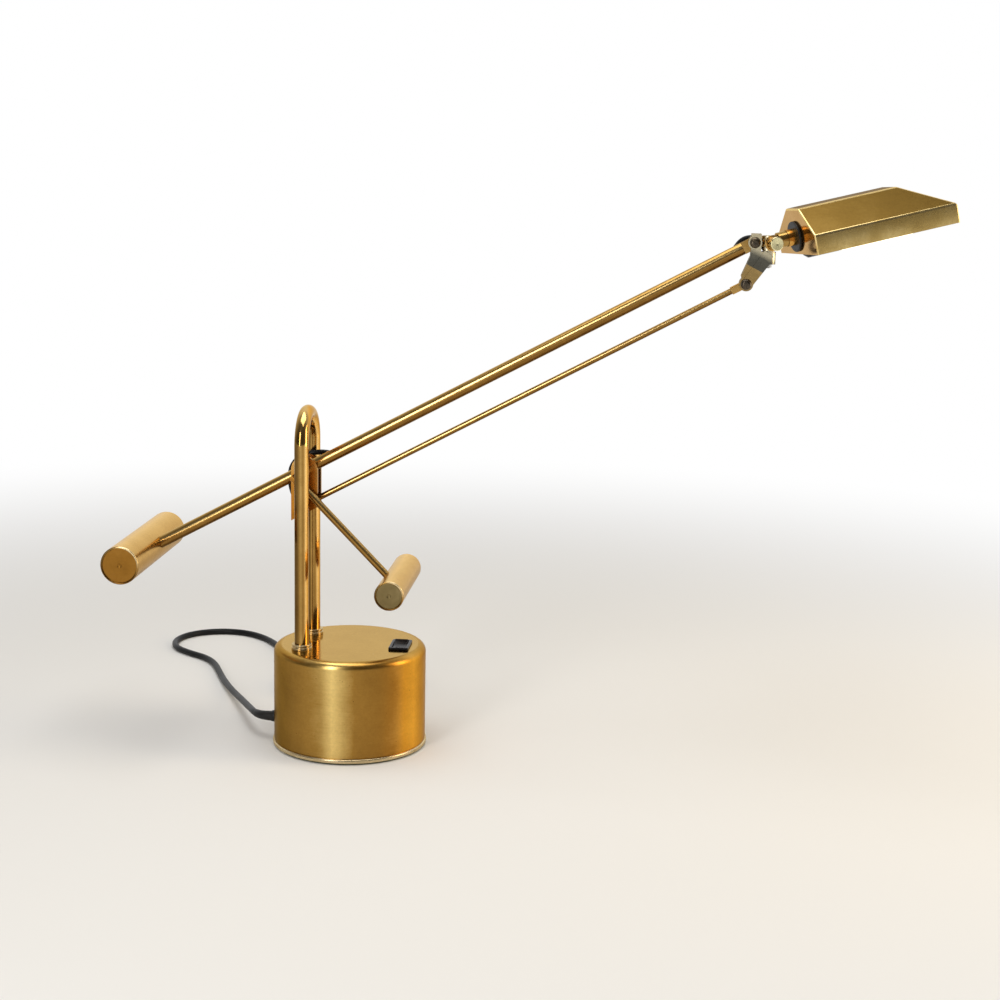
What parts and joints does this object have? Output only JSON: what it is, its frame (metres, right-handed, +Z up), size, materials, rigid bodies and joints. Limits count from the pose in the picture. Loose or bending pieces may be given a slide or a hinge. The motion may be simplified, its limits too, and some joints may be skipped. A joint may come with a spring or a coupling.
{
  "type": "counterweight balance desk lamp",
  "caption": "Brass desk lamp with a hipped metal shade on a balanced parallel-arm linkage with bar counterweights, on an inverted-U stand and drum base with a rocker switch",
  "frame": {"origin": "Middle of the felt pad's underside, where the base stands on the desk, under the drum's centre line", "axes": "+Z up; +X horizontal from the main counterweight towards the head, in the arm's plane; +Y horizontal along the hinge axes, to the side away from the switch viewer"},
  "size_m": [0.7247, 0.4032, 0.4833],
  "materials": {
    "brass_base": "satin",
    "brass_rod": "polished",
    "brass_weight": "brushed",
    "brass_weight_end": "satin",
    "brass_shade": "satin",
    "brass_small": "polished",
    "brass_ring": "satin",
    "steel": "satin",
    "dark_screw": "blackened",
    "iron": "cast",
    "black_plastic": "gloss",
    "dull_plastic": "matte",
    "cord": "satin",
    "felt": "felt",
    "glass": "frosted"
  },
  "bodies": {
    "stand": {"base_shell": "brass_base", "base_ring": "brass_ring", "felt_pad": "felt", "bottom_plate": "steel", "ballast": "iron", "base_screws": "steel", "base_pillars": "steel", "stand_tube": "brass_rod", "leg_collars": "brass_rod", "leg_nuts": "steel", "main_axle": "steel", "axle_spacers": "brass_rod", "switch_housing": "black_plastic", "cord_gland": "dull_plastic", "base_fittings": "dull_plastic", "base_leads": "cord", "leg_grommet": "dull_plastic", "mains_cord": "cord", "cord_coil": "cord", "cord_tail": "cord", "plug_body": "dull_plastic", "plug_pins": "steel", "stand_lead": "cord"},
    "rocker": {"switch_rocker": "black_plastic"},
    "main_arm": {"main_arm": "brass_rod", "pivot_sleeve": "steel", "arm_end_eye": "brass_small", "main_weight_case": "brass_weight", "main_weight_core": "iron", "main_weight_ends": "brass_weight_end", "main_weight_screw": "steel", "arm_lead": "cord", "arm_grommets": "dull_plastic", "head_lead": "cord", "head_bush": "brass_small"},
    "link": {"link_plate_near": "brass_small", "link_plate_far": "brass_small", "link_rivet": "brass_small", "small_weight_rod": "brass_rod", "small_weight_case": "brass_weight", "small_weight_core": "iron", "small_weight_ends": "brass_weight_end", "small_weight_screw": "steel"},
    "tie_rod": {"tie_rod": "brass_rod", "tie_rod_ends": "brass_small", "link_bush": "brass_small"},
    "head_bracket": {"head_bracket": "brass_small", "joint_bolts": "dark_screw"},
    "swivel": {"swivel_knuckle": "brass_small", "swivel_fasteners": "steel"},
    "clamp_knob": {"clamp_knob": "brass_small"},
    "head": {"head_stem": "brass_small", "panel_washer": "dull_plastic", "stem_nut": "steel", "shade": "brass_shade", "lampholder": "brass_small", "lampholder_liner": "dull_plastic", "lamp_cap": "steel", "lamp_bulb": "glass"}
  },
  "joints": [
    {"name": "rocker_press", "type": "hinge", "parent": "stand", "child": "rocker", "pos_m": [0.044, -0.0035, 0.085], "axis": [1, 0, 0], "range_deg": [-14, 0]},
    {"name": "link_tilt", "type": "hinge", "parent": "stand", "child": "link", "pos_m": [-0.037, 0, 0.239], "axis": [0, -1, 0], "range_deg": [-15, 15]},
    {"name": "arm_tilt", "type": "hinge", "parent": "link", "child": "main_arm", "pos_m": [-0.037, 0, 0.239], "axis": [0, -1, 0], "range_deg": [-28, 22], "deforming": ["stand_lead"]},
    {"name": "tie_rod_turn", "type": "hinge", "parent": "link", "child": "tie_rod", "pos_m": [-0.0428, 0, 0.2055], "axis": [0, -1, 0], "range_deg": [-28, 22]},
    {"name": "bracket_level", "type": "hinge", "parent": "main_arm", "child": "head_bracket", "pos_m": [0.32937, 0, 0.4371], "axis": [0, -1, 0], "range_deg": [-22, 28], "deforming": ["head_lead"]},
    {"name": "head_pan", "type": "hinge", "parent": "head_bracket", "child": "swivel", "pos_m": [0.34047, 0, 0.4371], "axis": [0, 0, 1], "range_deg": [-10, 45]},
    {"name": "head_tilt", "type": "hinge", "parent": "swivel", "child": "head", "pos_m": [0.34047, 0, 0.4371], "axis": [0.3289, -0.9444, 0], "range_deg": [-22, 30]},
    {"name": "knob_turn", "type": "hinge", "parent": "swivel", "child": "clamp_knob", "pos_m": [0.34047, 0, 0.4371], "axis": [0.3289, -0.9444, 0], "continuous": true}
  ],
  "couplings": [
    {"joint": "tie_rod_turn", "follows": "arm_tilt", "ratio": 1},
    {"joint": "bracket_level", "follows": "arm_tilt", "ratio": -1}
  ]
}
